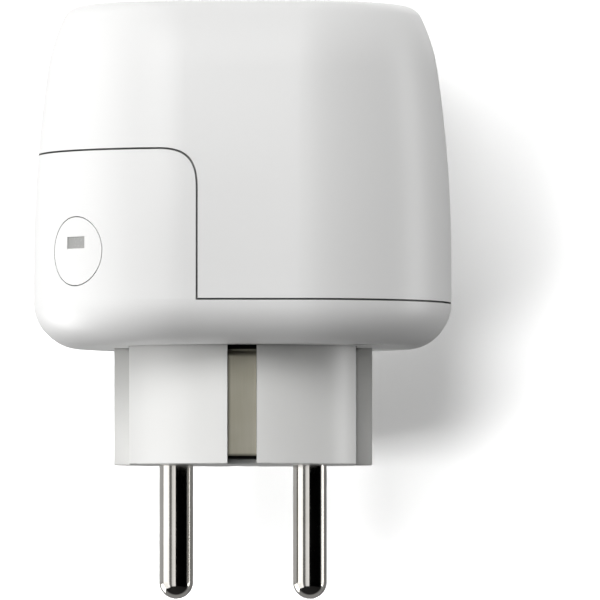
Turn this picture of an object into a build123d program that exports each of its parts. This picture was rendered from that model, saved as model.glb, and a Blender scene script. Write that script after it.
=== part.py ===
from build123d import *
import math
import os

os.makedirs("parts", exist_ok=True)

# A plug-in metering adapter. Millimetres. The pins point down (-Z), the outlet opens upwards (+Z), and the
# origin is the centre of the plug nose's end face. The button sits on the rounded corner towards -X -Y.

# --- Plug side ---
pin_spacing = 19.0
pin_radius = 2.4
pin_length = 19.0
pin_seat_radius = 2.0  # the part of the pin inside the nose
pin_recess_gap = 0.1
pin_recess_depth = 0.3
pin_collar_radius = 3.2
pin_collar_thickness = 1.5
pin_tail_radius = 1.1
nose_radius = 18.6
nose_length = 16.7
nose_edge_round = 0.15
nose_wall = 2.2
nose_face_thickness = 3.2
nose_boss_radius = 4.6
nose_boss_top = 12.0
nose_flange_radius = 20.2
nose_flange_thickness = 1.5
groove_half_gap = 16.0  # from the axis to the bottom of each guide groove
groove_far_wall = 2.75  # the grooves are open towards -Y and end at this wall

# --- Housing ---
housing_width = 59.0
housing_top = 64.6
corner_axis = 8.0  # the vertical edges are round about (+-8, +-8)
bottom_round = 6.0
side_start = 28.5  # height above which the sides curve inwards
side_lean = 8.2  # degrees from upright, where the side's long arc meets the shoulder
shoulder_radius = 25.5
shoulder_lean = 26.0  # degrees from upright, where the shoulder meets the top edge's round
top_round = 2.6
wall = 1.8
seam_gap = 0.26
seam_height = 22.68
tab_top = 43.62
tab_edge = -6.2
tab_corner = 5.4
tab_corner_pull = 0.28  # how near the corner the curve's handles lie, as a share of its length
lip_thickness = 0.8
lip_height = 1.2
lip_clearance = 0.1
nose_hole_clearance = 0.1

# --- Outlet ---
well_radius = 19.5
well_wall = 1.6
well_depth = 17.5
well_floor_thickness = 2.5
well_clearance = 0.15
well_collar_width = 1.5
well_collar_thickness = 1.6
well_lead_in = 0.8
guide_rib_depth = 3.0
guide_rib_width = 4.8
outlet_hole_radius = 2.75
outlet_hole_lead_in = 0.5

# --- Shutter ---
shutter_side = 3.0  # from a hole's axis to the shutter's end
shutter_height = 5.0
shutter_clearance = 0.1
ramp_width = 6.2
ramp_top_edge = -2.6
ramp_foot_edge = 2.9
ramp_foot_height = 0.5
shutter_back = -5.6
shutter_travel = 5.6
spring_pocket_depth = 4.0
spring_radius = 1.35
spring_wire = 0.4
spring_turns = 8

# --- Contacts, straps and bars ---
strap_width = 4.0
strap_thickness = 0.8
strap_bend = 0.45
strap_face = 17.6  # from the axis to the strip's outer face in the nose
strap_inner_run = 14.9
strap_slot_width = 4.1
strap_low_end = 0.6
strap_high_end = 15.75
strap_contact_depth = 2.9  # how far the outlet's earth contacts stand into the cup
clip_half_width = 2.5
clip_clearance = 0.3
bar_thickness = 0.8
bar_clearance = 0.3
bar_width = 3.6
link_reach = 11.5  # from the pins' plane to the middle of the bars' far ends

# --- Boards and the relay ---
board_gap = 0.5  # from the bars up to the board
board_thickness = 1.6
board_clearance = 0.6
board_hole_gap = 0.3
relay_gap = 0.3
relay_width = 12.4
relay_length = 28.5
relay_height = 15.0
relay_wall = 0.8
relay_base_thickness = 1.6
armature_closing = 4.4  # degrees
armature_rest_gap = 0.06

# --- Screws ---
screw_place = 17.2
screw_radius = 1.4
screw_head_radius = 2.5
screw_head_height = 2.0
screw_length = 13.0
screw_recess_radius = 2.75
screw_recess_depth = 3.5
screw_pillar_radius = 3.7
cover_pillar_radius = 2.7
pilot_clearance = 0.05

# --- Button ---
button_height = 29.53
button_radius = 4.75
button_gap = 0.13
button_travel = 0.35
button_flange_width = 1.1
button_flange_thickness = 1.0
button_rest_gap = 0.1
button_boss_width = 2.4
button_boss_depth = 3.4  # from the corner's face in to the boss's flat end
stem_radius = 1.6
stem_length = 1.68
stem_gap = 0.02
window_width = 3.5
window_height = 1.63
window_rise = 1.2
window_recess = 0.15
light_guide_gap = 0.02
light_guide_tail = 1.4
button_board_width = 14.0
button_board_top = 37.0
button_board_thickness = 1.6
switch_size = 4.5
switch_depth = 3.2
switch_drop = 1.9
plunger_radius = 1.05
plunger_clearance = 0.1
plunger_proud = 1.0

# --- Worked out from the values above ---
half_width = housing_width / 2
pin_x = pin_spacing / 2
bottom = nose_length
side_sin = math.sin(math.radians(side_lean))
side_cos = math.cos(math.radians(side_lean))
shoulder_sin = math.sin(math.radians(shoulder_lean))
shoulder_cos = math.cos(math.radians(shoulder_lean))
round_rise = top_round * (1 - shoulder_sin)
shoulder_rise = shoulder_radius * (shoulder_sin - side_sin)
side_radius = (housing_top - side_start - shoulder_rise - round_rise) / side_sin
side_center = half_width - side_radius
shoulder_center = (side_center + (side_radius - shoulder_radius) * side_cos, housing_top - round_rise)
shoulder_center = (shoulder_center[0], shoulder_center[1] - shoulder_radius * shoulder_sin)
round_center = (shoulder_center[0] + (shoulder_radius - top_round) * shoulder_cos, housing_top - top_round)
corner_reach = corner_axis * math.sqrt(2) + half_width - corner_axis
inner_bottom = bottom + wall
flange_top = inner_bottom + nose_flange_thickness
bar_height = flange_top + bar_clearance
board_height = bar_height + bar_thickness + board_gap
well_outer_radius = well_radius + well_wall
well_floor = housing_top - well_depth
well_underside = well_floor - well_floor_thickness
board_top = board_height + board_thickness
bar_top = bar_height + bar_thickness
shutter_top = well_underside - 2 * shutter_clearance
shutter_bottom = shutter_top - shutter_height
tray_floor_top = shutter_bottom - shutter_clearance
shutter_half_width = pin_x + shutter_side
tray_half = shutter_half_width + 0.3
carrier_half = tray_half + 0.6
relay_inner_edge = carrier_half + relay_gap
relay_center = relay_inner_edge + relay_width / 2
relay_foot = board_top + 0.1
relay_base_top = relay_foot + relay_base_thickness
relay_top = board_top + relay_height
button_boss_face = corner_reach - button_boss_depth
flange_face = button_boss_face - button_rest_gap
flange_back = flange_face - button_flange_thickness
plunger_tip = flange_back - stem_length - stem_gap
switch_front = plunger_tip - plunger_proud
button_board_place = switch_front - switch_depth - button_board_thickness
screw_corners = [
    (screw_place, -screw_place),
    (screw_place, screw_place),
    (-screw_place, screw_place),
]
button_plane = Plane(origin=(0, 0, button_height), x_dir=(1, -1, 0), z_dir=(-1, -1, 0))


def write(piece, name):
    """Label a finished piece and write it as its own file."""
    piece.part.label = name
    export_step(piece.part, f"parts/{name}.step")


def draw_side_profile(inset, reach):
    """Half of the housing's side view, `inset` inside its face, drawn from an axis `reach` off centre."""
    side = half_width - reach
    foot = side - bottom_round
    shoulder = (shoulder_center[0] - reach, shoulder_center[1])
    head = round_center[0] - reach
    steepening = shoulder_lean - side_lean
    with BuildLine() as profile:
        Line((0, bottom + inset), (foot, bottom + inset))
        CenterArc((foot, bottom + bottom_round), bottom_round - inset, -90, 90)
        Line((side - inset, bottom + bottom_round), (side - inset, side_start))
        CenterArc((side_center - reach, side_start), side_radius - inset, 0, side_lean)
        CenterArc(shoulder, shoulder_radius - inset, side_lean, steepening)
        CenterArc((head, round_center[1]), top_round - inset, shoulder_lean, 90 - shoulder_lean)
        Polyline((head, housing_top - inset), (0, housing_top - inset), (0, bottom + inset))
    make_face(profile.edges())


def housing_form(inset):
    """The housing's closed outer form, or the same form drawn `inset` further in."""
    with BuildPart() as form:
        with BuildSketch(Plane(origin=(corner_axis, corner_axis, 0), x_dir=(1, 0, 0), z_dir=(0, -1, 0))):
            draw_side_profile(inset, corner_axis)
        revolve(axis=Axis((corner_axis, corner_axis, 0), (0, 0, 1)), revolution_arc=90)
        mirror(about=Plane.YZ)
        mirror(about=Plane.XZ)
        for plane in (Plane.XZ, Plane.YZ):
            with BuildSketch(plane):
                draw_side_profile(inset, 0)
                mirror(about=Plane.YZ)
            extrude(amount=corner_axis, both=True)
    return form.part


def base_side(grow):
    """All that lies on the base's side of the seam, with the seam moved `grow` towards the cover."""
    span = 2 * housing_width
    with BuildPart() as tab:
        for plane, mode in ((Plane.XZ, Mode.ADD), (Plane.YZ, Mode.INTERSECT)):
            edge = tab_edge + grow
            top = tab_top + grow
            curve = tab_corner + grow
            handle = curve * tab_corner_pull
            with BuildSketch(plane):
                with BuildLine():
                    Bezier((edge - curve, top), (edge - handle, top), (edge, top - handle), (edge, top - curve))
                    Polyline((edge, top - curve), (edge, -span), (-span, -span), (-span, top), (edge - curve, top))
                make_face()
            extrude(amount=span, both=True, mode=mode)
    with BuildPart() as region:
        with Locations((0, 0, seam_height + grow)):
            Box(span, span, span, align=(Align.CENTER, Align.CENTER, Align.MAX))
        add(tab.part)
    return region.part


def draw_nose_outline(grow):
    """The plug nose seen along its axis: a circle with a guide groove on each side, open towards -Y."""
    span = 4 * nose_radius
    Circle(nose_radius + grow)
    with Locations((groove_half_gap + grow, groove_far_wall - grow)):
        Rectangle(span, span, align=(Align.MIN, Align.MAX), mode=Mode.SUBTRACT)
    with Locations((-groove_half_gap - grow, groove_far_wall - grow)):
        Rectangle(span, span, align=(Align.MAX, Align.MAX), mode=Mode.SUBTRACT)


def block(x, y, z):
    """A box between two planes on each axis, joined to the piece being built."""
    with Locations(((x[0] + x[1]) / 2, (y[0] + y[1]) / 2, (z[0] + z[1]) / 2)):
        Box(x[1] - x[0], y[1] - y[0], z[1] - z[0])


def cut_block(x, y, z):
    """A box between two planes on each axis, cut from the piece being built."""
    with Locations(((x[0] + x[1]) / 2, (y[0] + y[1]) / 2, (z[0] + z[1]) / 2)):
        Box(x[1] - x[0], y[1] - y[0], z[1] - z[0], mode=Mode.SUBTRACT)


def post(radius, z, places=((0, 0),), mode=Mode.ADD):
    """Upright cylinders between two heights."""
    with BuildSketch(Plane.XY.offset(z[0])) as discs:
        with Locations(*places):
            Circle(radius)
    extrude(discs.sketch, amount=z[1] - z[0], mode=mode)


pin_places = ((-pin_x, 0), (pin_x, 0))
outer_form = housing_form(0)
inner_form = housing_form(wall)

# --- Base shell: the bottom, and the corner tab that carries the button ---
with BuildPart() as base_lip:
    add(housing_form(wall - lip_thickness))
    add(inner_form, mode=Mode.SUBTRACT)
    add(base_side(lip_height), mode=Mode.INTERSECT)

with BuildPart() as base_shell:
    add(outer_form)
    add(inner_form, mode=Mode.SUBTRACT)
    add(base_side(-seam_gap / 2), mode=Mode.INTERSECT)
    add(base_lip.part)
    with BuildSketch(Plane.XY.offset(bottom - wall)):
        draw_nose_outline(nose_hole_clearance)
    extrude(amount=3 * wall, mode=Mode.SUBTRACT)
    post(screw_pillar_radius, (inner_bottom - wall / 2, board_height), screw_corners)
    post(screw_recess_radius, (bottom - wall, bottom + screw_recess_depth), screw_corners, Mode.SUBTRACT)
    post(screw_radius + board_hole_gap, (bottom, board_height + wall), screw_corners, Mode.SUBTRACT)
    post(cover_pillar_radius, (inner_bottom - wall / 2, board_height), ((-screw_place, -screw_place),))
    with BuildSketch(button_plane.offset(button_boss_face)):
        Circle(button_radius + button_boss_width)
    extrude(amount=wall)
    with BuildSketch(button_plane.offset(button_boss_face - wall)):
        Circle(button_radius + button_gap)
    extrude(amount=4 * wall, mode=Mode.SUBTRACT)
write(base_shell, "base_shell")

# --- Cover shell: the upper part, with the outlet's round opening ---
with BuildPart() as cover_rebate:
    add(housing_form(wall - lip_thickness - lip_clearance))
    add(base_side(lip_height + lip_clearance), mode=Mode.INTERSECT)

pillar_foot = board_height + 0.1
pillar_top = housing_top - wall / 2
with BuildPart() as cover_shell:
    add(outer_form)
    add(inner_form, mode=Mode.SUBTRACT)
    add(base_side(seam_gap / 2), mode=Mode.SUBTRACT)
    add(cover_rebate.part, mode=Mode.SUBTRACT)
    post(well_outer_radius + well_clearance, (housing_top - 2 * wall, housing_top + wall), mode=Mode.SUBTRACT)
    post(cover_pillar_radius, (pillar_foot, pillar_top), screw_corners)
    pilot_top = pillar_foot + screw_length
    post(screw_radius + pilot_clearance, (pillar_foot, pilot_top), screw_corners, Mode.SUBTRACT)
write(cover_shell, "cover_shell")

# --- Plug nose: hollow from inside, with a boss for each pin and a slot for each earth strip ---
with BuildPart() as plug_nose:
    with BuildSketch():
        draw_nose_outline(0)
    extrude(amount=inner_bottom)
    fillet(plug_nose.edges().group_by(Axis.Z)[0], nose_edge_round)
    post(nose_flange_radius, (inner_bottom, flange_top))
    with BuildSketch(Plane.XY.offset(nose_face_thickness)):
        draw_nose_outline(-nose_wall)
        with Locations(*pin_places):
            Circle(nose_boss_radius, mode=Mode.SUBTRACT)
        for side in (-1, 1):
            with Locations((0, side * nose_radius)):
                Rectangle(strap_width + 2 * nose_wall, 12.4, mode=Mode.SUBTRACT)
    extrude(amount=flange_top, mode=Mode.SUBTRACT)
    post(nose_boss_radius + 1, (nose_boss_top, flange_top + 1), pin_places, Mode.SUBTRACT)
    post(pin_seat_radius, (-1, nose_boss_top + 1), pin_places, Mode.SUBTRACT)
    post(pin_radius + pin_recess_gap, (-1, pin_recess_depth), pin_places, Mode.SUBTRACT)
    for side in (-1, 1):
        pocket = sorted((side * (strap_inner_run - 1), side * 2 * nose_radius))
        passage = sorted((side * (strap_inner_run - 1), side * (strap_inner_run + 1)))
        slot = (-strap_slot_width / 2, strap_slot_width / 2)
        cut_block(slot, pocket, (-1, bottom))
        cut_block(slot, passage, (bottom - 1, flange_top + 1))
write(plug_nose, "plug_nose")

# --- Plug pins: round ends, a collar inside the nose, and a tail riveted to the bars ---
for x, name in ((pin_x, "line_pin"), (-pin_x, "neutral_pin")):
    collar_top = nose_boss_top + pin_collar_thickness
    with BuildPart() as pin:
        post(pin_radius, (pin_radius - pin_length, 0), ((x, 0),))
        with Locations((x, 0, pin_radius - pin_length)):
            Sphere(pin_radius)
        post(pin_seat_radius, (0, nose_boss_top), ((x, 0),))
        post(pin_collar_radius, (nose_boss_top, collar_top), ((x, 0),))
        post(pin_tail_radius, (collar_top, bar_top), ((x, 0),))
        post(pin_tail_radius + 0.6, (bar_top, bar_top + 0.5), ((x, 0),))
    write(pin, name)

# --- Earth straps: a bent strip each, from the nose's slot up to a spring contact in the outlet ---
strap_line = strap_face - strap_thickness / 2
strap_low = strap_low_end + strap_thickness / 2
strap_high = strap_high_end - strap_thickness / 2
strap_outer_run = well_outer_radius + 0.2 + strap_thickness / 2
strap_step = well_underside - 2.7
strap_top = housing_top - wall - 1.9
strap_route = [
    (strap_inner_run - 0.2, strap_low),
    (strap_line, strap_low),
    (strap_line, strap_high),
    (strap_inner_run, strap_high),
    (strap_inner_run, strap_step),
    (strap_outer_run, strap_step),
    (strap_outer_run, strap_top),
    (well_radius - 0.9, strap_top),
    (well_radius - strap_contact_depth, well_floor + 7.7),
    (well_radius - 1.3, well_floor + 2.7),
]
for side, name in ((-1, "earth_strap_front"), (1, "earth_strap_rear")):
    with BuildPart() as strap:
        with BuildSketch(Plane.YZ):
            with BuildLine():
                FilletPolyline([(side * y, z) for y, z in strap_route], radius=strap_bend)
            trace(line_width=strap_thickness)
        extrude(amount=strap_width / 2, both=True)
    write(strap, name)

with BuildPart() as earth_bridge:
    bridge_end = strap_inner_run - strap_thickness / 2
    block((-strap_width / 2, strap_width / 2), (-bridge_end, bridge_end), (bar_height, bar_top))
write(earth_bridge, "earth_bridge")

# --- Outlet cup: guide ribs left and right, slots for the earth contacts front and rear ---
with BuildPart() as socket_well:
    post(well_outer_radius, (well_floor, housing_top))
    collar_top = housing_top - wall - 0.2
    post(well_outer_radius + well_collar_width, (collar_top - well_collar_thickness, collar_top))
    notch_radius = cover_pillar_radius + board_hole_gap
    post(notch_radius, (collar_top - wall, collar_top + 0.1), screw_corners, Mode.SUBTRACT)
    post(well_radius, (well_floor, housing_top + 1), mode=Mode.SUBTRACT)
    rim = socket_well.edges().filter_by(GeomType.CIRCLE).group_by(Axis.Z)[-1].sort_by(SortBy.RADIUS)[0]
    chamfer(rim, well_lead_in)
    rib_half = guide_rib_width / 2
    for side in (-1, 1):
        rib = sorted((side * (well_radius - guide_rib_depth), side * (well_radius + well_wall / 2)))
        block(rib, (-rib_half, rib_half), (well_floor, housing_top - 2))
        slot = sorted((side * (well_radius - 2), side * (well_outer_radius + well_collar_width + 1)))
        slot_half = strap_width / 2 + 0.6
        cut_block((-slot_half, slot_half), slot, (well_floor + 1.4, strap_top + 1.2))
write(socket_well, "socket_well")

# --- Outlet floor: the cup's bottom, with a hole for each pin ---
with BuildPart() as outlet_floor:
    post(well_outer_radius, (well_underside, well_floor))
    post(outlet_hole_radius, (well_underside - 1, well_floor + 1), pin_places, Mode.SUBTRACT)
    mouths = outlet_floor.edges().filter_by(GeomType.CIRCLE)
    mouths = mouths.filter_by(lambda edge: abs(edge.radius - outlet_hole_radius) < 0.01)
    chamfer(mouths.group_by(Axis.Z)[-1], outlet_hole_lead_in)
write(outlet_floor, "outlet_floor")

# --- Shutter: a ramp under each hole, pushed aside by both pins together ---
spring_axis_height = (shutter_bottom + shutter_top) / 2
spring_seat = shutter_back + spring_pocket_depth
with BuildPart() as shutter:
    for side in (-1, 1):
        ramp_inner_edge = shutter_half_width - ramp_width
        with BuildSketch(Plane.YZ.offset(side * ramp_inner_edge)):
            with BuildLine():
                Polyline(
                    (shutter_back, shutter_bottom),
                    (shutter_back, shutter_top),
                    (ramp_top_edge, shutter_top),
                    (ramp_foot_edge, shutter_bottom + ramp_foot_height),
                    (ramp_foot_edge, shutter_bottom),
                    close=True,
                )
            make_face()
        extrude(amount=side * ramp_width)
    bridge_front = spring_seat + 1
    block((-ramp_inner_edge, ramp_inner_edge), (shutter_back, bridge_front), (shutter_bottom, shutter_top))
    with BuildSketch(Plane(origin=(0, shutter_back, spring_axis_height), x_dir=(1, 0, 0), z_dir=(0, 1, 0))):
        Circle(spring_radius + spring_wire + 0.1)
    extrude(amount=spring_pocket_depth, mode=Mode.SUBTRACT)
write(shutter, "shutter")

# --- Contact carrier: a tray for the shutter, above a pocket for each contact ---
tray_back = shutter_back - shutter_travel - 0.2
tray_front = ramp_foot_edge + 0.1
block_half = 5.2
tray_floor_bottom = tray_floor_top - 1.0
clip_base_height = well_floor - pin_length - clip_clearance
clip_top = tray_floor_bottom - clip_clearance
carrier_bottom = clip_base_height - bar_thickness / 2 - 1.0
with BuildPart() as contact_carrier:
    carrier_span = (-carrier_half, carrier_half)
    block(carrier_span, (-block_half, block_half), (carrier_bottom, tray_floor_top))
    block(carrier_span, (tray_back - 1, tray_front + 1), (tray_floor_bottom, well_underside - 0.1))
    cut_block((-tray_half, tray_half), (tray_back, tray_front), (tray_floor_top, well_underside + 1))
    for side in (-1, 1):
        pocket_x = sorted((side * (pin_x - clip_half_width - 0.4), side * (pin_x + clip_half_width + 0.4)))
        pocket_base = carrier_bottom + 1.0
        cut_block(pocket_x, (-4.0, 4.0), (pocket_base, tray_floor_bottom))
        link_x = (side * pin_x - bar_width / 2 - 0.2, side * pin_x + bar_width / 2 + 0.2)
        cut_block(link_x, (3.5, block_half + 1), (pocket_base, pocket_base + bar_thickness + 0.2))
    cut_block((-5.4, 5.4), (-4.0, 4.0), (carrier_bottom - 1, tray_floor_bottom))
    post(outlet_hole_radius + 0.25, (tray_floor_bottom - 1, tray_floor_top + 1), pin_places, Mode.SUBTRACT)
    for x in (-carrier_half + 0.75, carrier_half - 0.75):
        for y in (-block_half + 0.75, block_half - 0.75):
            block((x - 0.75, x + 0.75), (y - 0.75, y + 0.75), (board_top, carrier_bottom))
write(contact_carrier, "contact_carrier")

with BuildPart() as shutter_spring:
    spring_start = tray_back + spring_wire / 2 + 0.02
    spring_length = spring_seat - spring_wire / 2 - 0.02 - spring_start
    with BuildLine() as coil:
        Helix(
            pitch=spring_length / spring_turns,
            height=spring_length,
            radius=spring_radius,
            center=(0, spring_start, spring_axis_height),
            direction=(0, 1, 0),
        )
    with BuildSketch(coil.line ^ 0):
        Circle(spring_wire / 2)
    sweep(is_frenet=True)
write(shutter_spring, "shutter_spring")

# --- Outlet contacts: two spring leaves around each pin's place, and a link down to the bars ---
clip_route = [
    (-3.2, clip_top),
    (-2.5, clip_top - 3.2),
    (-3.2, clip_base_height + 2.0),
    (-3.2, clip_base_height),
    (3.2, clip_base_height),
    (3.2, clip_base_height + 2.0),
    (2.5, clip_top - 3.2),
    (3.2, clip_top),
]
for x, name in ((pin_x, "line_contact"), (-pin_x, "neutral_contact")):
    with BuildPart() as contact:
        with BuildSketch(Plane.YZ.offset(x)):
            with BuildLine():
                FilletPolyline(clip_route, radius=0.7)
            trace(line_width=bar_thickness)
        extrude(amount=clip_half_width, both=True)
        with BuildSketch(Plane.YZ.offset(x)):
            with BuildLine():
                FilletPolyline((2.0, clip_base_height), (link_reach, clip_base_height), (link_reach, bar_top), radius=1)
            trace(line_width=bar_thickness)
        extrude(amount=bar_width / 2, both=True)
    write(contact, name)

# --- Flat bars under the board, and the shunt that the current is measured across ---
bar_half = bar_width / 2
bar_end = link_reach + bar_half
bar_span = (pin_x - bar_half, pin_x + bar_half)
relay_bar_span = (pin_x - bar_half, relay_center + bar_half)
bar_layer = (bar_height, bar_top)
terminal_x = (relay_center - 1, relay_center + 1)
terminal_half = 0.5
contact_terminal_y = (link_reach - terminal_half, link_reach + terminal_half)
feed_terminal_y = (-link_reach - terminal_half, -link_reach + terminal_half)

with BuildPart() as line_busbar_in:
    block(bar_span, (-bar_end, 3), bar_layer)
    block(relay_bar_span, (-bar_end, -bar_end + bar_width), bar_layer)
    post(pin_tail_radius, (bar_height - 1, bar_top + 1), ((pin_x, 0),), Mode.SUBTRACT)
    cut_block(terminal_x, feed_terminal_y, (bar_height - 1, bar_top + 1))
write(line_busbar_in, "line_busbar_in")

with BuildPart() as line_busbar_out:
    block(relay_bar_span, (bar_end - bar_width, bar_end), bar_layer)
    cut_block(terminal_x, contact_terminal_y, (bar_height - 1, bar_top + 1))
write(line_busbar_out, "line_busbar_out")

shunt_start = 5.0
with BuildPart() as neutral_busbar:
    block((-bar_span[1], -bar_span[0]), (-3, shunt_start), bar_layer)
    post(pin_tail_radius, (bar_height - 1, bar_top + 1), ((-pin_x, 0),), Mode.SUBTRACT)
write(neutral_busbar, "neutral_busbar")

with BuildPart() as shunt_resistor:
    block((-bar_span[1], -bar_span[0]), (shunt_start, bar_end), bar_layer)
    cut_block((-pin_x - bar_width, -pin_x - 0.5), (shunt_start + 2, shunt_start + 3), (bar_height - 1, bar_top + 1))
write(shunt_resistor, "shunt_resistor")

# --- Main board ---
board_half = half_width - wall - board_clearance
with BuildPart() as main_board:
    with BuildSketch(Plane.XY.offset(board_height)):
        RectangleRounded(2 * board_half, 2 * board_half, board_half - corner_axis)
        with Locations(*screw_corners):
            Circle(cover_pillar_radius + board_hole_gap, mode=Mode.SUBTRACT)
        with Locations(*pin_places):
            Circle(pin_tail_radius + 1.6, mode=Mode.SUBTRACT)
        with Locations((-pin_x, link_reach), (pin_x, link_reach)):
            Rectangle(bar_width + 0.6, bar_thickness + 0.6, mode=Mode.SUBTRACT)
        with Locations((0, -strap_inner_run), (0, strap_inner_run)):
            Rectangle(strap_width + 0.8, strap_thickness + 0.8, mode=Mode.SUBTRACT)
        with Locations((relay_center, -link_reach), (relay_center, link_reach)):
            Rectangle(2.4, 1.4, mode=Mode.SUBTRACT)
        notch_place = (0.4 - button_boss_face) / math.sqrt(2)
        with Locations(Location((notch_place, notch_place, 0), (0, 0, 45))):
            Rectangle(board_half, board_half, align=(Align.MAX, Align.CENTER), mode=Mode.SUBTRACT)
    extrude(amount=board_thickness)
write(main_board, "main_board")

# --- Relay: base, cover, coil, yoke with core, hinged armature with its contact ---
relay_y = (-relay_length / 2, relay_length / 2)
relay_x = (relay_inner_edge, relay_inner_edge + relay_width)
with BuildPart() as relay_base:
    block(relay_x, relay_y, (relay_foot, relay_base_top))
    cut_block(terminal_x, contact_terminal_y, (relay_foot - 1, relay_base_top + 1))
    cut_block(terminal_x, feed_terminal_y, (relay_foot - 1, relay_base_top + 1))
write(relay_base, "relay_base")

with BuildPart() as relay_cover:
    block(relay_x, relay_y, (relay_base_top, relay_top))
    fillet(relay_cover.edges().filter_by(Axis.Z), 0.6)
    inside_x = (relay_x[0] + relay_wall, relay_x[1] - relay_wall)
    inside_y = (relay_y[0] + relay_wall, relay_y[1] - relay_wall)
    cut_block(inside_x, inside_y, (relay_base_top - 1, relay_top - relay_wall))
write(relay_cover, "relay_cover")

coil_height = relay_base_top + 5.2
coil_radius = 4.1
coil_flange_radius = 4.9
coil_ends = (-9.6, 3.4)
core_radius = 1.5
yoke_half = 4.0
yoke_under = coil_height + coil_flange_radius + 0.3
yoke_top = yoke_under + 1.0
yoke_back = coil_ends[0] - 1.6
core_end = coil_ends[1] + 1.3
coil_plane = Plane(origin=(relay_center, coil_ends[0], coil_height), x_dir=(1, 0, 0), z_dir=(0, 1, 0))
coil_length = coil_ends[1] - coil_ends[0]
with BuildPart() as relay_coil:
    with BuildSketch(coil_plane):
        Circle(coil_radius)
    extrude(amount=coil_length)
    for place in (0, coil_length - 0.9):
        with BuildSketch(coil_plane.offset(place)):
            Circle(coil_flange_radius)
        extrude(amount=0.9)
    with BuildSketch(coil_plane):
        Circle(core_radius)
    extrude(amount=coil_length, mode=Mode.SUBTRACT)
write(relay_coil, "relay_coil")

yoke_x = (relay_center - yoke_half, relay_center + yoke_half)
with BuildPart() as relay_yoke:
    block(yoke_x, (yoke_back, yoke_back + 1.2), (relay_base_top + 0.4, yoke_top))
    block(yoke_x, (yoke_back, core_end + 0.2), (yoke_under, yoke_top))
    with BuildSketch(coil_plane.offset(yoke_back - coil_ends[0])):
        Circle(core_radius)
    extrude(amount=core_end - yoke_back)
write(relay_yoke, "relay_yoke")

closing_slope = math.sin(math.radians(armature_closing))
armature_face = core_end + (yoke_top - coil_height + core_radius) * closing_slope + armature_rest_gap
armature_top = yoke_top + 0.2
arm_top = armature_top + 0.6
contact_radius = 1.3
moving_button_foot = armature_top - 0.7
contact_swing = (link_reach + contact_radius - armature_face) * closing_slope
fixed_button_top = moving_button_foot - contact_swing - armature_rest_gap
with BuildPart() as relay_armature:
    block(yoke_x, (armature_face, armature_face + 1), (coil_height - 2.6, armature_top))
write(relay_armature, "relay_armature")

with BuildPart() as relay_moving_contact:
    block((relay_center - 1.5, relay_center + 1.5), (armature_face, link_reach + 1.2), (armature_top, arm_top))
    post(contact_radius, (moving_button_foot, armature_top), ((relay_center, link_reach),))
write(relay_moving_contact, "relay_moving_contact")

with BuildPart() as relay_fixed_contact:
    block(terminal_x, contact_terminal_y, (bar_height, fixed_button_top - 0.8))
    post(contact_radius, (fixed_button_top - 0.8, fixed_button_top), ((relay_center, link_reach),))
write(relay_fixed_contact, "relay_fixed_contact")

with BuildPart() as relay_feed_terminal:
    block(terminal_x, feed_terminal_y, (bar_height, relay_base_top + 0.4))
write(relay_feed_terminal, "relay_feed_terminal")

# --- Power supply: transformer, capacitors, choke, rectifier and protection ---
transformer_place = (-20.2, 6.0)
core_half_length = 6.2
core_half_depth = 2.5
window_inner = 1.65
window_outer = 4.7
core_yoke = 2.0
transformer_foot = board_top + 1.4
transformer_top = transformer_foot + 11.0
tx, ty = transformer_place
with BuildPart() as transformer_core:
    core_x = (tx - core_half_depth, tx + core_half_depth)
    window_z = (transformer_foot + core_yoke, transformer_top - core_yoke)
    block(core_x, (ty - core_half_length, ty + core_half_length), (transformer_foot, transformer_top))
    cut_block((tx - 9, tx + 9), (ty + window_inner, ty + window_outer), window_z)
    cut_block((tx - 9, tx + 9), (ty - window_outer, ty - window_inner), window_z)
write(transformer_core, "transformer_core")

with BuildPart() as transformer_coil:
    coil_y = (ty - window_outer + 0.1, ty + window_outer - 0.1)
    block((tx - 5.6, tx + 5.6), coil_y, (window_z[0] + 0.1, window_z[1] - 0.1))
    fillet(transformer_coil.edges().filter_by(Axis.Z), 2.0)
    cut_block(core_x, (ty - window_inner, ty + window_inner), window_z)
write(transformer_coil, "transformer_coil")

with BuildPart() as transformer_bobbin:
    block((tx - 6, tx + 6), (ty - core_half_length, ty + core_half_length), (board_top, transformer_foot))
write(transformer_bobbin, "transformer_bobbin")

bulk_places = ((-17.8, -4.7), (-8.6, 19.6))
with BuildPart() as bulk_capacitors:
    post(4.0, (board_top, board_top + 12), bulk_places)
    fillet(bulk_capacitors.edges().group_by(Axis.Z)[-1], 0.6)
write(bulk_capacitors, "bulk_capacitors")

with BuildPart() as mains_capacitor:
    block((-6.5, 6.5), (-25.2, -19.2), (board_top, board_top + 12))
    fillet(mains_capacitor.edges().filter_by(Axis.Z), 0.5)
write(mains_capacitor, "mains_capacitor")

with BuildPart() as varistor:
    with BuildSketch(Plane(origin=(9.1, -20.4, board_top + 6.2), x_dir=(0, 1, 0), z_dir=(1, 0, 0))):
        Circle(5.0)
    extrude(amount=4.2)
    fillet(varistor.edges(), 1.0)
    post(0.4, (board_top, board_top + 3), ((11.2, -22.9), (11.2, -17.9)))
write(varistor, "varistor")

with BuildPart() as fuse:
    post(3.6, (board_top, board_top + 8), ((0, 19.7),))
    fillet(fuse.edges().group_by(Axis.Z)[-1], 0.4)
write(fuse, "fuse")

with BuildPart() as filter_choke:
    post(4.3, (board_top, board_top + 1.2), ((9.0, 19.6),))
    post(3.4, (board_top + 1.2, board_top + 7.6), ((9.0, 19.6),))
    post(4.3, (board_top + 7.6, board_top + 8.8), ((9.0, 19.6),))
write(filter_choke, "filter_choke")

with BuildPart() as rectifier:
    block((-3.2, 3.2), (-12.1, -7.1), (board_top, board_top + 2.6))
    chamfer(rectifier.edges().group_by(Axis.Z)[-1], 0.3)
write(rectifier, "rectifier")

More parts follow.
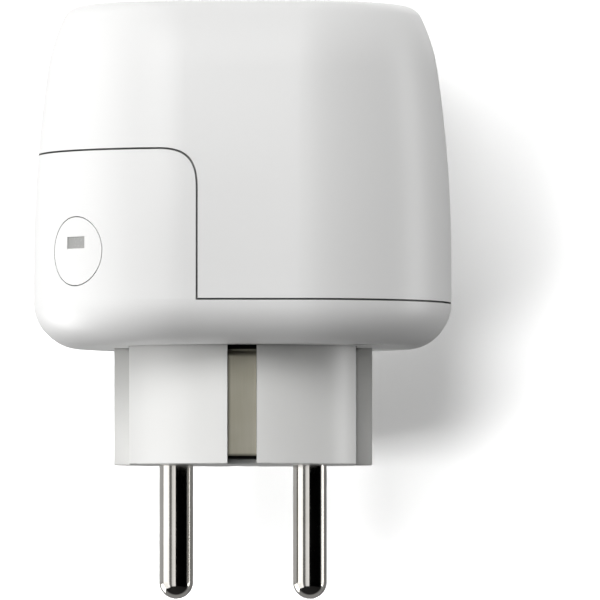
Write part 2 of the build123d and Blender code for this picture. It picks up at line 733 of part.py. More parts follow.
with BuildPart() as metering_chip:
    block((-3.1, 3.1), (6.9, 12.2), (board_top + 0.15, board_top + 1.75))
    chamfer(metering_chip.edges().group_by(Axis.Z)[-1], 0.25)
    for lead in range(4):
        lead_x = -1.9 + 1.27 * lead
        block((lead_x - 0.2, lead_x + 0.2), (6.3, 12.8), (board_top, board_top + 0.4))
write(metering_chip, "metering_chip")

# --- Radio board, standing against the rear wall ---
radio_face = half_width - wall - 2.1
with BuildPart() as radio_board:
    block((-9, 9), (radio_face - 1, radio_face), (board_top, board_top + 18))
write(radio_board, "radio_board")

with BuildPart() as radio_shield:
    block((-6.5, 6.5), (radio_face, radio_face + 1.4), (board_top + 1.3, board_top + 12.3))
    fillet(radio_shield.edges().filter_by(Axis.Y), 0.5)
write(radio_shield, "radio_shield")

# --- Button, on the corner's diagonal: board, switch, lamp, cap and light guide ---
board_mid = (board_top + button_board_top) / 2 - button_height
with BuildPart() as button_board:
    with BuildSketch(button_plane.offset(button_board_place)):
        with Locations((0, board_mid)):
            Rectangle(button_board_width, button_board_top - board_top)
    extrude(amount=button_board_thickness)
write(button_board, "button_board")

plunger_foot = switch_front - 2.0
plunger_flange = 0.5
switch_cavity = plunger_flange + button_travel + 0.4
with BuildPart() as switch_body:
    with BuildSketch(button_plane.offset(switch_front - switch_depth)):
        with Locations((0, -switch_drop)):
            Rectangle(switch_size, switch_size)
    extrude(amount=switch_depth)
    with BuildSketch(button_plane.offset(plunger_foot - button_travel - 0.2)):
        with Locations((0, -switch_drop)):
            Circle(1.7)
    extrude(amount=switch_cavity, mode=Mode.SUBTRACT)
    with BuildSketch(button_plane.offset(plunger_foot)):
        with Locations((0, -switch_drop)):
            Circle(plunger_radius + plunger_clearance)
    extrude(amount=switch_depth, mode=Mode.SUBTRACT)
write(switch_body, "switch_body")

with BuildPart() as switch_plunger:
    with BuildSketch(button_plane.offset(plunger_foot)):
        with Locations((0, -switch_drop)):
            Circle(plunger_radius)
    extrude(amount=plunger_tip - plunger_foot)
    with BuildSketch(button_plane.offset(plunger_foot)):
        with Locations((0, -switch_drop)):
            Circle(1.5)
    extrude(amount=plunger_flange)
write(switch_plunger, "switch_plunger")

lamp_rise = 1.6
with BuildPart() as indicator_led:
    with BuildSketch(button_plane.offset(switch_front - switch_depth)):
        with Locations((0, lamp_rise)):
            Rectangle(1.6, 0.8)
    extrude(amount=0.6)
write(indicator_led, "indicator_led")

with BuildPart() as button_cap:
    with BuildSketch(button_plane.offset(flange_back)):
        Circle(button_radius)
    extrude(amount=4 * wall)
    add(outer_form, mode=Mode.INTERSECT)
    with BuildSketch(button_plane.offset(flange_back)):
        Circle(button_radius + button_flange_width)
    extrude(amount=button_flange_thickness)
    with BuildSketch(button_plane.offset(plunger_tip + stem_gap)):
        with Locations((0, -switch_drop)):
            Circle(stem_radius)
    extrude(amount=flange_back - plunger_tip)
    with BuildSketch(button_plane.offset(flange_back - wall)):
        with Locations((0, window_rise)):
            Rectangle(window_width, window_height)
    extrude(amount=6 * wall, mode=Mode.SUBTRACT)
write(button_cap, "button_cap")

with BuildPart() as light_guide:
    with BuildSketch(button_plane.offset(flange_back - light_guide_tail)):
        with Locations((0, window_rise)):
            Rectangle(window_width - 2 * light_guide_gap, window_height - 2 * light_guide_gap)
    extrude(amount=6 * wall)
    add(housing_form(window_recess), mode=Mode.INTERSECT)
write(light_guide, "light_guide")

# --- Screws, driven from below into the cover's pillars ---
with BuildPart() as case_screws:
    head_seat = bottom + screw_recess_depth
    post(screw_head_radius, (head_seat - screw_head_height, head_seat), screw_corners)
    post(screw_radius, (head_seat, pillar_foot + screw_length - 1), screw_corners)
    with BuildSketch(Plane.XY.offset(head_seat - screw_head_height)):
        with Locations(*screw_corners):
            RegularPolygon(1.3, 3)
    extrude(amount=1.2, mode=Mode.SUBTRACT)
write(case_screws, "case_screws")
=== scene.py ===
import math

import bmesh
import bpy
from mathutils import Matrix, Vector


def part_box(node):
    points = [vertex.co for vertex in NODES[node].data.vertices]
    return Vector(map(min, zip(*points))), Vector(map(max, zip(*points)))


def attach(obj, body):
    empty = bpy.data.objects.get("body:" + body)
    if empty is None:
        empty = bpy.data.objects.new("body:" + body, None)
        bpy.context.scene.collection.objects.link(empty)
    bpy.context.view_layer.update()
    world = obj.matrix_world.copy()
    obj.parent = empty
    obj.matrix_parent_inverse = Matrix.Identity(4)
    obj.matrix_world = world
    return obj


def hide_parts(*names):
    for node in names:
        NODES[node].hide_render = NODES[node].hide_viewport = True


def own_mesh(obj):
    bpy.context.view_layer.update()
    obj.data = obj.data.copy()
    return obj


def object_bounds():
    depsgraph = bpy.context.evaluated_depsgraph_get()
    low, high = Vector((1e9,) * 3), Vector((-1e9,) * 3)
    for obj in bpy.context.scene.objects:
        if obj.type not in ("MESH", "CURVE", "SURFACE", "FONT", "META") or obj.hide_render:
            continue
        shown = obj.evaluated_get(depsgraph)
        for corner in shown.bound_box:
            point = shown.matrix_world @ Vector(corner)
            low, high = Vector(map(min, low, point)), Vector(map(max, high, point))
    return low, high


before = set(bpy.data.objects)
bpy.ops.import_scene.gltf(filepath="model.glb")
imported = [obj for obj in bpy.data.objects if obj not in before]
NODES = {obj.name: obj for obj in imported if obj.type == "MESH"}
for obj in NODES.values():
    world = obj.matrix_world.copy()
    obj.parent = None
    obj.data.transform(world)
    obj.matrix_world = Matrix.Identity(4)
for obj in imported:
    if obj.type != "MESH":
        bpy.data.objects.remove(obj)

bl_info = {
    "name": "Plug in power meter",
    "version": (1, 0, 0),
    "blender": (4, 5, 0),
    "location": "3D View > Sidebar > Power meter",
    "description": "Finishes and small pieces of a plug in power meter, built around its CAD frame",
    "category": "Object",
}

CAD_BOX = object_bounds()
MM = 0.001


# --- Colours, nodes and materials ---------------------------------------------------------------------------


def srgb(code):
    """A colour written as sRGB hex, turned to the linear values that shaders take."""
    parts = [int(code[i:i + 2], 16) / 255 for i in (0, 2, 4)]
    linear = [c / 12.92 if c <= 0.04045 else ((c + 0.055) / 1.055) ** 2.4 for c in parts]
    return (*linear, 1.0)


def add_node(tree, kind, inputs=None, **settings):
    """Adds a node. Settings are its properties; inputs are its sockets' values, or the outputs that feed them."""
    node = tree.nodes.new(kind)
    for name, value in settings.items():
        setattr(node, name, value)
    for key, value in (inputs or {}).items():
        socket = node.inputs[key]
        for source in value if isinstance(value, list) else [value]:
            if isinstance(source, bpy.types.NodeSocket):
                tree.links.new(source, socket)
            else:
                socket.default_value = source
    return node


def new_material(name, shader_inputs):
    """An empty material with one Principled BSDF, whose constants stand on its own sockets."""
    material = bpy.data.materials.new(name)
    material.use_nodes = True
    tree = material.node_tree
    tree.nodes.clear()
    shader = add_node(tree, "ShaderNodeBsdfPrincipled", shader_inputs)
    add_node(tree, "ShaderNodeOutputMaterial", {"Surface": shader.outputs[0]})
    return material, tree, shader


def noise(tree, place, grain_mm, detail=2.0, squeeze=None):
    """Noise whose cells are about grain_mm across; squeeze stretches it along an axis."""
    if squeeze:
        place = add_node(tree, "ShaderNodeMapping", {"Vector": place, "Scale": squeeze}).outputs[0]
    return add_node(tree, "ShaderNodeTexNoise", {"Vector": place, "Scale": 1 / (grain_mm * MM), "Detail": detail}).outputs["Fac"]


def spread(tree, value, low, high):
    """Maps 0..1 noise to a range."""
    return add_node(tree, "ShaderNodeMapRange", {"Value": value, "From Min": 0.3, "From Max": 0.7,
                                                 "To Min": low, "To Max": high}).outputs[0]


def tint(tree, value, dark, light):
    """A colour between two, by a value from 0 to 1."""
    ramp = add_node(tree, "ShaderNodeValToRGB", {"Fac": value})
    ramp.color_ramp.elements[0].position, ramp.color_ramp.elements[1].position = 0.3, 0.7
    ramp.color_ramp.elements[0].color, ramp.color_ramp.elements[1].color = srgb(dark), srgb(light)
    return ramp.outputs[0]


def moulded_plastic(name, dark, light, grain_mm=0.35, roughness=(0.36, 0.42), bump=0.05, edge_mm=0.0, painted_gap_shade="", **extra):
    """Injection moulded plastic: the tool's fine grain breaks the highlight, and its edges are slightly round. A gap
    colour, when given, is mixed in as painted shade where ambient occlusion finds seams and crevices.
    """
    inputs = {"IOR": 1.53, "Specular IOR Level": 0.5}
    inputs.update(extra)
    material, tree, shader = new_material(name, inputs)
    place = add_node(tree, "ShaderNodeTexCoord").outputs["Object"]
    grain = noise(tree, place, grain_mm, 3.0)
    flow = noise(tree, place, 30.0, 1.0)
    colour = tint(tree, flow, dark, light)
    if painted_gap_shade:
        # Painted shade: the colour darkens towards the gap colour where ambient occlusion finds a seam or crevice.
        closed = add_node(tree, "ShaderNodeAmbientOcclusion", {"Distance": 0.9 * MM}, samples=6).outputs["AO"]
        open_share = add_node(tree, "ShaderNodeMapRange", {"Value": closed, "From Min": 0.1, "From Max": 0.55}).outputs[0]
        colour = add_node(tree, "ShaderNodeMix", {0: open_share, 6: srgb(painted_gap_shade), 7: colour}, data_type="RGBA").outputs[2]
    tree.links.new(colour, shader.inputs["Base Color"])
    tree.links.new(spread(tree, grain, *roughness), shader.inputs["Roughness"])
    bump_inputs = {"Height": grain, "Strength": bump, "Distance": 0.02 * MM}
    if edge_mm:
        bump_inputs["Normal"] = add_node(tree, "ShaderNodeBevel", {"Radius": edge_mm * MM}, samples=6).outputs[0]
    tree.links.new(add_node(tree, "ShaderNodeBump", bump_inputs).outputs[0], shader.inputs["Normal"])
    return material


def worked_metal(name, dark, light, roughness, grain_mm=0.05, squeeze=None, bump=0.02, anisotropy=0.0, painted_shadow_span=None):
    """Rolled, drawn or plated metal: fine lines along the way that it was worked, over a slow change of tone. Given a
    span of heights, the metal is painted near black at both ends of the span below a cut-off height, as painted shadow
    from a slot's depth.
    """
    material, tree, shader = new_material(name, {"Metallic": 1.0, "Anisotropic": anisotropy})
    place = add_node(tree, "ShaderNodeTexCoord").outputs["Object"]
    lines = noise(tree, place, grain_mm, 3.0, squeeze)
    cloud = noise(tree, place, 6.0, 2.0)
    colour = tint(tree, cloud, dark, light)
    if painted_shadow_span:
        # Painted shadow: near black where the strip runs into the depth of the nose's slots, at both ends of the span.
        height = add_node(tree, "ShaderNodeSeparateXYZ", {"Vector": place}).outputs[2]
        half = (painted_shadow_span[1] - painted_shadow_span[0]) / 2
        reach = add_node(tree, "ShaderNodeMath", {0: height, 1: painted_shadow_span[0] + half}, operation="SUBTRACT").outputs[0]
        reach = add_node(tree, "ShaderNodeMath", {0: reach}, operation="ABSOLUTE").outputs[0]
        shadow_share = add_node(tree, "ShaderNodeMapRange", {"Value": reach, "From Min": half - 0.05 * MM, "From Max": half + 0.05 * MM}).outputs[0]
        nose_part = add_node(tree, "ShaderNodeMath", {0: height, 1: painted_shadow_span[2]}, operation="LESS_THAN").outputs[0]
        shadow_share = add_node(tree, "ShaderNodeMath", {0: shadow_share, 1: nose_part}, operation="MULTIPLY").outputs[0]
        colour = add_node(tree, "ShaderNodeMix", {0: shadow_share, 6: colour, 7: srgb("161614")}, data_type="RGBA").outputs[2]
    tree.links.new(colour, shader.inputs["Base Color"])
    tree.links.new(spread(tree, lines, *roughness), shader.inputs["Roughness"])
    lumps = add_node(tree, "ShaderNodeBump", {"Height": lines, "Strength": bump, "Distance": 0.01 * MM})
    tree.links.new(lumps.outputs[0], shader.inputs["Normal"])
    return material


def solder_mask():
    """Green lacquer over etched copper: the tracks show as paler lines, 1.7 mm apart, through the lacquer."""
    material, tree, shader = new_material("green_solder_mask", {"IOR": 1.5, "Specular IOR Level": 0.5})
    place = add_node(tree, "ShaderNodeTexCoord").outputs["Object"]
    tracks = add_node(tree, "ShaderNodeTexBrick", {
        "Vector": place, "Scale": 1 / (4.8 * MM), "Mortar Size": 0.05, "Mortar Smooth": 0.2, "Brick Width": 3.4,
        "Row Height": 0.36, "Color1": srgb("1F5B3A"), "Color2": srgb("1D5536"), "Mortar": srgb("2F7A4C")})
    tree.links.new(tracks.outputs[0], shader.inputs["Base Color"])
    tree.links.new(spread(tree, noise(tree, place, 0.6, 2.0), 0.2, 0.3), shader.inputs["Roughness"])
    rise = add_node(tree, "ShaderNodeBump", {"Height": tracks.outputs[1], "Strength": 0.3, "Distance": 0.035 * MM})
    tree.links.new(rise.outputs[0], shader.inputs["Normal"])
    return material


def wear_material(names, material):
    """Gives CAD nodes their finish."""
    for name in names:
        slots = NODES[name].data.materials
        if len(slots):
            for index in range(len(slots)):
                slots[index] = material
        else:
            slots.append(material)


# --- Stage --------------------------------------------------------------------------------------------------


def aim(ob, target, spin=0.0):
    """Turns an object's -Z towards a point."""
    way = Vector(target) - ob.location
    ob.rotation_euler = (way.to_track_quat("-Z", "Y").to_matrix() @ Matrix.Rotation(spin, 3, "Z")).to_euler()


def on_ring(azimuth, elevation, distance, centre=(0, 0, 0.02)):
    """A point around the object: azimuth 0 is towards the camera, 90 to its right."""
    a, e = math.radians(azimuth), math.radians(elevation)
    return Vector(centre) + distance * Vector((math.sin(a) * math.cos(e), -math.cos(a) * math.cos(e), math.sin(e)))


def soft_light(name, azimuth, elevation, distance, width, height, radiance, colour="FFFFFF"):
    """A rectangular softbox, given by its brightness."""
    data = bpy.data.lights.new(name, "AREA")
    data.shape = "RECTANGLE"
    data.size, data.size_y = width, height
    data.energy = radiance * math.pi * width * height
    data.color = srgb(colour)[:3]
    ob = bpy.data.objects.new(name, data)
    ob.location = on_ring(azimuth, elevation, distance)
    aim(ob, (0, 0, 0.02))
    ob.visible_camera = False
    bpy.context.scene.collection.objects.link(ob)
    return ob


def ring_card(name, azimuths, elevations, distance, shades):
    """A curved card around the object that only shows in reflections; shades runs from its first azimuth to its last."""
    steps = 24
    mesh = bmesh.new()
    rows = []
    for elevation in elevations:
        rows.append([mesh.verts.new(on_ring(azimuths[0] + (azimuths[1] - azimuths[0]) * i / steps, elevation, distance))
                     for i in range(steps + 1)])
    layer = mesh.loops.layers.uv.new("run")
    for i in range(steps):
        face = mesh.faces.new((rows[0][i], rows[0][i + 1], rows[1][i + 1], rows[1][i]))
        for loop, run in zip(face.loops, (i, i + 1, i + 1, i)):
            loop[layer].uv = (run / steps, 0)
    data = bpy.data.meshes.new(name)
    mesh.to_mesh(data)
    mesh.free()
    material = bpy.data.materials.new(name)
    material.use_nodes = True
    tree = material.node_tree
    tree.nodes.clear()
    run = add_node(tree, "ShaderNodeUVMap", uv_map="run").outputs[0]
    run = add_node(tree, "ShaderNodeSeparateXYZ", {"Vector": run}).outputs[0]
    shade = add_node(tree, "ShaderNodeMapRange", {"Value": run, "To Min": shades[0], "To Max": shades[1]}).outputs[0]
    glow = add_node(tree, "ShaderNodeEmission", {"Strength": shade})
    add_node(tree, "ShaderNodeOutputMaterial", {"Surface": glow.outputs[0]})
    data.materials.append(material)
    ob = bpy.data.objects.new(name, data)
    bpy.context.scene.collection.objects.link(ob)
    for ray in ("camera", "diffuse", "transmission", "volume_scatter", "shadow"):
        setattr(ob, f"visible_{ray}", False)
    return ob


def stage_sheet(name, corners, material):
    """A plain sheet of the stage, which takes shadows but keeps no light from the object."""
    data = bpy.data.meshes.new(name)
    data.from_pydata([Vector(c) for c in corners], [], [(0, 1, 2, 3)])
    data.materials.append(material)
    ob = bpy.data.objects.new(name, data)
    bpy.context.scene.collection.objects.link(ob)
    for ray in ("diffuse", "glossy", "transmission", "shadow"):
        setattr(ob, f"visible_{ray}", False)
    return ob


def keep_off(obs, lights, way="EXCLUDE"):
    """The objects take no light from these lights, or with INCLUDE only they take it."""
    for light in lights:
        group = bpy.data.collections.new(f"{light.name}_links")
        for number, ob in enumerate(obs):
            group.objects.link(ob)
            group.collection_objects[number].light_linking.link_state = way
        light.light_linking.receiver_collection = group


def stage_paper():
    """White paper that only shows from its front, so it hides nothing when the object is seen from behind."""
    material = bpy.data.materials.new("stage_paper")
    material.use_nodes = True
    tree = material.node_tree
    tree.nodes.clear()
    paper = add_node(tree, "ShaderNodeBsdfDiffuse", {"Color": (1.55, 1.55, 1.55, 1)})
    clear = add_node(tree, "ShaderNodeBsdfTransparent")
    back = add_node(tree, "ShaderNodeNewGeometry").outputs["Backfacing"]
    both = add_node(tree, "ShaderNodeMixShader", {0: back, 1: paper.outputs[0], 2: clear.outputs[0]})
    add_node(tree, "ShaderNodeOutputMaterial", {"Surface": both.outputs[0]})
    return material


class PM_OT_stage(bpy.types.Operator):
    """Floor, backdrop, softboxes, surrounding light and camera"""
    bl_idname = "power_meter.stage"
    bl_label = "Stage"

    def execute(self, context):
        scene = context.scene
        look = scene.power_meter_stage
        scene.view_settings.view_transform = "Standard"
        scene.view_settings.look = "None"

        world = bpy.data.worlds.new("studio")
        scene.world = world
        world.use_nodes = True
        tree = world.node_tree
        tree.nodes.clear()
        way = add_node(tree, "ShaderNodeTexCoord").outputs["Generated"]
        rise = add_node(tree, "ShaderNodeSeparateXYZ", {"Vector": way}).outputs[2]
        behind = add_node(tree, "ShaderNodeSeparateXYZ", {"Vector": way}).outputs[1]
        under = add_node(tree, "ShaderNodeMapRange", {"Value": behind, "From Min": 0.05, "From Max": 0.3,
                                                      "To Min": look.low_light, "To Max": look.rear_low_light}).outputs[0]
        shade = add_node(tree, "ShaderNodeMapRange", {"Value": rise, "From Min": -0.22, "From Max": 0.12,
                                                      "To Min": under, "To Max": look.high_light}).outputs[0]
        side = add_node(tree, "ShaderNodeVectorMath", {0: way, 1: (0.8, -0.6, 0)}, operation="DOT_PRODUCT").outputs[1]
        dim = add_node(tree, "ShaderNodeMapRange", {"Value": side, "From Min": 0.2, "From Max": 0.9,
                                                    "To Min": 1.0, "To Max": look.right_dim}).outputs[0]
        shade = add_node(tree, "ShaderNodeMath", {0: shade, 1: dim}, operation="MULTIPLY").outputs[0]
        seen = add_node(tree, "ShaderNodeLightPath").outputs["Is Camera Ray"]
        shade = add_node(tree, "ShaderNodeMix", {0: seen, 2: shade, 3: 1.0}, data_type="FLOAT").outputs[0]
        sky = add_node(tree, "ShaderNodeBackground", {"Strength": shade})
        add_node(tree, "ShaderNodeOutputWorld", {"Surface": sky.outputs[0]})

        paper = stage_paper()
        low, high = CAD_BOX
        floor, back, reach = low.z - 1.6 * MM, high.y + 1.5 * MM, 6.0
        stage_sheet("floor", ((-reach, -reach, floor), (reach, -reach, floor), (reach, reach, floor), (-reach, reach, floor)),
                    paper)
        backdrop = stage_sheet("backdrop", ((-reach, back, -reach), (reach, back, -reach), (reach, back, reach),
                                            (-reach, back, reach)), paper)

        left = soft_light("left_softbox", -72, -5, 1.2, 1.05, 1.5, look.left_light)
        low = soft_light("low_left_softbox", -116, -24, 1.2, 0.7, 0.6, look.low_left_light)
        keep_off((backdrop,), (left,))
        keep_off((backdrop, NODES["plug_nose"], NODES["earth_strap_front"]), (low,))
        fill = soft_light("backdrop_softbox", -38, -9, 1.2, 0.95, 0.35, look.backdrop_light)
        keep_off((backdrop,), (fill,), "INCLUDE")
        soft_light("near_softbox", -16.5, 18, 1.35, 0.8, 0.7, look.near_light)
        soft_light("key_softbox", -15, 27, 1.3, 0.6, 0.6, look.key_light)
        soft_light("right_strip", 98, 0, 1.2, 0.3, 0.9, look.right_light)
        soft_light("rear_softbox", 170, 30, 1.4, 1.4, 1.0, look.rear_light)
        ring_card("dim_card", (-62, -30), (-30, 22), 1.8, (0.2, 0.2))
        ring_card("near_card", (-30, -4), (-30, 22), 1.8, (0.85, 1.25))
        ring_card("dark_card", (-4, 80), (-30, 22), 1.8, (0.0, 0.0))
        ring_card("shaded_card", (98, 178), (-30, 22), 1.8, (0.38, 0.1))

        camera = bpy.data.objects.new("camera", bpy.data.cameras.new("camera"))
        scene.collection.objects.link(camera)
        camera.location = (8.1 * MM, -1070 * MM, -12 * MM)
        camera.rotation_euler = (math.radians(90 + 1.9), 0, 0)
        camera.data.lens = 451.3
        camera.data.sensor_width = 36
        scene.camera = camera
        return {"FINISHED"}


class PM_OT_finishes(bpy.types.Operator):
    """Gives every CAD piece its finish"""
    bl_idname = "power_meter.finishes"
    bl_label = "Finishes"

    def execute(self, context):
        look = context.scene.power_meter_look
        # White ABS and polycarbonate blend, moulded in a finely spark-eroded tool: satin, with a soft wide highlight.
        # Painted shade: the shells' seams go dark grey where ambient occlusion finds them.
        shell = moulded_plastic("satin_white_abs", "EDEDEC", "F1F1F0", edge_mm=look.edge_round, painted_gap_shade="4A4A48")
        wear_material(("cover_shell", "base_shell"), shell)
        button = moulded_plastic("satin_white_abs_button", "EDEDEC", "F1F1F0", edge_mm=look.edge_round)
        wear_material(("button_cap",), button)
        # Painted shade: the nose's slots and seams go dark grey where ambient occlusion finds them.
        nose = moulded_plastic("satin_white_polycarbonate", "EDEDEB", "F1F1EF", edge_mm=0.1, roughness=(0.3, 0.36), painted_gap_shade="3A3A38")
        wear_material(("plug_nose",), nose)
        well = moulded_plastic("gloss_white_polycarbonate", "E6E6E4", "ECECEA", edge_mm=0.1, roughness=(0.2, 0.26))
        wear_material(("socket_well", "outlet_floor"), well)
        wear_material(("shutter",), moulded_plastic("white_acetal", "E2E2DE", "EAEAE6", edge_mm=0.1))
        wear_material(("contact_carrier", "transformer_bobbin", "relay_base"),
                      moulded_plastic("black_glass_filled_nylon", "242426", "2F2F31", 0.3, (0.42, 0.55), 0.12))
        wear_material(("switch_plunger",), moulded_plastic("grey_acetal", "5A5C5E", "66686A"))
        # Grey tinted polycarbonate rod: darker than the button because little light comes back out of it.
        window = moulded_plastic("grey_tinted_polycarbonate", "9A9A98", "A2A2A0", roughness=(0.2, 0.3), bump=0.02)
        wear_material(("light_guide",), window)
        # Turned brass with bright nickel: near mirror, with faint lines round the pin.
        pins = worked_metal("bright_nickel_on_brass", "C9C6C0", "D2CFCA", (0.07, 0.1), 0.4, (0.05, 0.05, 1), 0.02)
        wear_material(("line_pin", "neutral_pin"), pins)
        # Rolled brass strip with matt nickel: a soft grey sheen drawn along the strip.
        # Painted shadow: the straps go near black at the top and foot of the nose slot, where the slot's depth shades
        # them.
        _, foot, _ = middle("earth_strap_front")
        straps = worked_metal("matt_nickel_strip", "918E80", "99968A", (0.46, 0.54), 0.25, (1, 1, 0.04), 0.06,
                              painted_shadow_span=(foot.z + 0.0005, 0.0161, 0.019))
        wear_material(("earth_strap_front", "earth_strap_rear", "earth_bridge"), straps)
        brass = worked_metal("stamped_brass", "C8A960", "D2B56E", (0.22, 0.32), 0.3, (0.1, 1, 1))
        wear_material(("line_contact", "neutral_contact", "line_busbar_in", "line_busbar_out", "neutral_busbar",
                       "relay_fixed_contact", "relay_feed_terminal", "relay_moving_contact"), brass)
        wear_material(("shunt_resistor",), worked_metal("rolled_manganin", "A8775C", "B4846A", (0.3, 0.4), 0.3, (1, 0.1, 1)))
        iron = worked_metal("nickel_flashed_iron", "96948F", "A5A39E", (0.35, 0.5), 0.3)
        wear_material(("relay_yoke", "relay_armature"), iron)
        wear_material(("radio_shield",), worked_metal("tinned_steel_sheet", "B4B5B4", "C3C4C2", (0.25, 0.38), 0.5))
        board = solder_mask()
        wear_material(("main_board", "button_board", "radio_board"), board)
        wear_material(("rectifier", "metering_chip", "switch_body"), moulded_plastic("black_epoxy", "1C1C1E", "252527"))
        wear_material(("relay_cover",), moulded_plastic("blue_polyester", "1B4A86", "215493", roughness=(0.24, 0.32)))
        wear_material(("transformer_coil",), moulded_plastic("yellow_coil_tape", "D8B21E", "E2C033", roughness=(0.2, 0.3)))
        wear_material(("transformer_core",), moulded_plastic("sintered_ferrite", "2E2D2E", "3A393A"))
        wear_material(("mains_capacitor",), moulded_plastic("yellow_film_case", "D8A82A", "E0B23A"))
        wear_material(("varistor",), moulded_plastic("blue_epoxy_dip", "22489A", "2B54A8"))
        wear_material(("fuse",), moulded_plastic("brown_fuse_case", "4A2F22", "563829"))
        wear_material(("indicator_led",), moulded_plastic("clear_lamp_resin", "D9E4C8", "E4EDD6"))
        return {"FINISHED"}


# --- Geometry Nodes and turned shapes -----------------------------------------------------------------------


def new_tree(name, sizes):
    """A geometry node tree with a named input for each size or material, and its inputs' sockets by name."""
    tree = bpy.data.node_groups.new(name, "GeometryNodeTree")
    tree.interface.new_socket("Geometry", in_out="INPUT", socket_type="NodeSocketGeometry")
    kinds = {int: "NodeSocketInt", float: "NodeSocketFloat", bpy.types.Material: "NodeSocketMaterial"}
    for label, value in sizes.items():
        socket = tree.interface.new_socket(label, in_out="INPUT", socket_type=kinds[type(value)])
        socket.default_value = value
    tree.interface.new_socket("Geometry", in_out="OUTPUT", socket_type="NodeSocketGeometry")
    return tree, add_node(tree, "NodeGroupInput").outputs


def calc(tree, way, a, b=0.0):
    """One sum on node values."""
    return add_node(tree, "ShaderNodeMath", {0: a, 1: b}, operation=way).outputs[0]


def vector(tree, x=0.0, y=0.0, z=0.0):
    """Three node values as one vector."""
    return add_node(tree, "ShaderNodeCombineXYZ", {0: x, 1: y, 2: z}).outputs[0]


def moved(tree, shape, place):
    """A shape moved by a vector."""
    return add_node(tree, "GeometryNodeTransform", {"Geometry": shape, "Translation": place}).outputs[0]


def painted(tree, shape, material, smooth=False):
    """A shape with its material, and smooth faces where it is round."""
    shape = add_node(tree, "GeometryNodeSetShadeSmooth", {"Geometry": shape, "Shade Smooth": smooth}).outputs[0]
    return add_node(tree, "GeometryNodeSetMaterial", {"Geometry": shape, "Material": material}).outputs[0]


def close_tree(tree, points, shape, turn=None):
    """Sets the shape on each point, and makes the copies real."""
    inputs = {"Points": points, "Instance": shape}
    if turn is not None:
        inputs["Rotation"] = turn
    copies = add_node(tree, "GeometryNodeInstanceOnPoints", inputs).outputs[0]
    real = add_node(tree, "GeometryNodeRealizeInstances", {"Geometry": copies}).outputs[0]
    add_node(tree, "NodeGroupOutput", {"Geometry": real})


def grow(name, tree, points, edges=(), **values):
    """Runs a tree on points, keeps the result as a plain mesh and removes the modifier."""
    seed = bpy.data.meshes.new(name)
    seed.from_pydata([Vector(p) for p in points], list(edges), [])
    ob = bpy.data.objects.new(name, seed)
    bpy.context.scene.collection.objects.link(ob)
    modifier = ob.modifiers.new("grow", "NODES")
    modifier.node_group = tree
    for item in tree.interface.items_tree:
        if item.in_out == "INPUT" and item.name in values:
            modifier[item.identifier] = values[item.name]
    graph = bpy.context.evaluated_depsgraph_get()
    mesh = bpy.data.meshes.new_from_object(ob.evaluated_get(graph), depsgraph=graph)
    ob.modifiers.remove(modifier)
    ob.data = mesh
    return ob


def turned(name, outlines, centre, materials, sides=48):
    """A turned piece: each outline is a list of (radius, height, material index of the band above), in metres."""
    mesh = bmesh.new()
    for outline in outlines:
        rings = []
        for radius, height, _ in outline:
            count = sides if radius > 1e-7 else 1
            turns = [2 * math.pi * i / sides for i in range(count)]
            rings.append([mesh.verts.new(Vector(centre) + Vector((radius * math.cos(t), radius * math.sin(t), height)))
                          for t in turns])
        for (low, high), (_, _, index) in zip(zip(rings, rings[1:]), outline):
            for i in range(sides):
                corners = [low[i % len(low)], low[(i + 1) % sides % len(low)],
                           high[(i + 1) % sides % len(high)], high[i % len(high)]]
                face = mesh.faces.new(tuple(dict.fromkeys(corners)))
                face.material_index, face.smooth = index, True
    bmesh.ops.recalc_face_normals(mesh, faces=mesh.faces)
    data = bpy.data.meshes.new(name)
    mesh.to_mesh(data)
    mesh.free()
    for material in materials:
        data.materials.append(material)
    data.set_sharp_from_angle(angle=math.radians(35))
    ob = bpy.data.objects.new(name, data)
    bpy.context.scene.collection.objects.link(ob)
    return ob


def settle(ob, body, slot, *replaced):
    """Hands a finished piece to its body and hides the CAD nodes that it stands for; the finish slot is not used."""
    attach(ob, body)
    if replaced:
        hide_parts(*replaced)


def middle(name):
    """The centre of a CAD node's box, with its lowest and highest corners."""
    low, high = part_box(name)
    return (low + high) / 2, low, high


